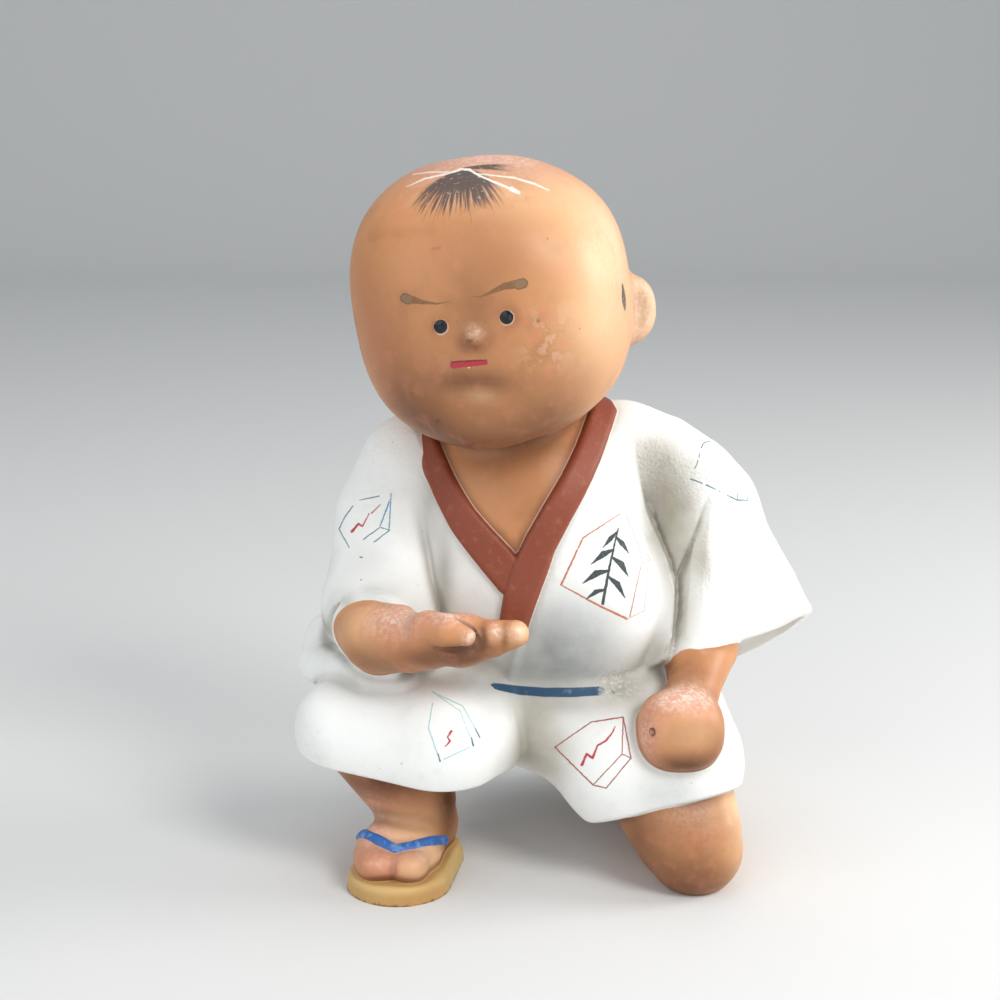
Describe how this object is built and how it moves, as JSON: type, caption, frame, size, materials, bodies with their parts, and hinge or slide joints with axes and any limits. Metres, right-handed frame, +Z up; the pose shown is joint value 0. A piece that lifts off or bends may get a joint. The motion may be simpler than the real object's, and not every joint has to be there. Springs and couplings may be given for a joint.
{
  "type": "hakata doll",
  "caption": "Painted fired-clay figure of a shaven-headed boy in a coat, kneeling on one knee with one palm raised.",
  "frame": {"origin": "on the ground, under the middle of the figure's bounding box", "axes": "+Z up from the ground to the top of the head, the figure looks towards -Y, its left side is towards +X"},
  "size_m": [0.1348, 0.0986, 0.1805],
  "materials": {
    "painted_clay": "matte paint over fired clay, satin on the skin"
  },
  "bodies": {
    "root": {"figure": "painted_clay"}
  },
  "joints": []
}
